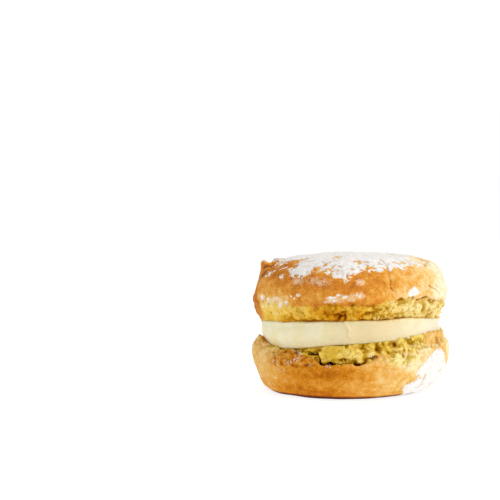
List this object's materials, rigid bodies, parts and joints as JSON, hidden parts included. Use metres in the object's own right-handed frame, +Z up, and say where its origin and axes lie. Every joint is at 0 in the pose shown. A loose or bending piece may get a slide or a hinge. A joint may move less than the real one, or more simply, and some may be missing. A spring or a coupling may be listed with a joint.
{
  "type": "soft almond sandwich biscuit",
  "caption": "Round sandwich biscuit: thick domed almond biscuits with browned, sugar-dusted crusts and bare crumb sides, flat side to flat side on a disc of pale butter cream.",
  "frame": {"origin": "middle of the outline seen from above, on the resting face under the lower biscuit", "axes": "+Z up through the stack, -Y towards the front where the cream is thickest on the left, +X to the right, where the cream is thinnest"},
  "size_m": [0.0476, 0.0464, 0.0331],
  "materials": {
    "lower_crust": "matte golden-brown baked crust over a rough yellow crumb",
    "butter_cream": "smooth pale ivory cream with a soft sheen",
    "upper_crust": "matte brown baked crust over a rough yellow crumb",
    "powdered_sugar": "matte white powder"
  },
  "bodies": {
    "root": {"lower_biscuit": "lower_crust", "cream_filling": "butter_cream", "upper_biscuit": "upper_crust"}
  },
  "joints": []
}
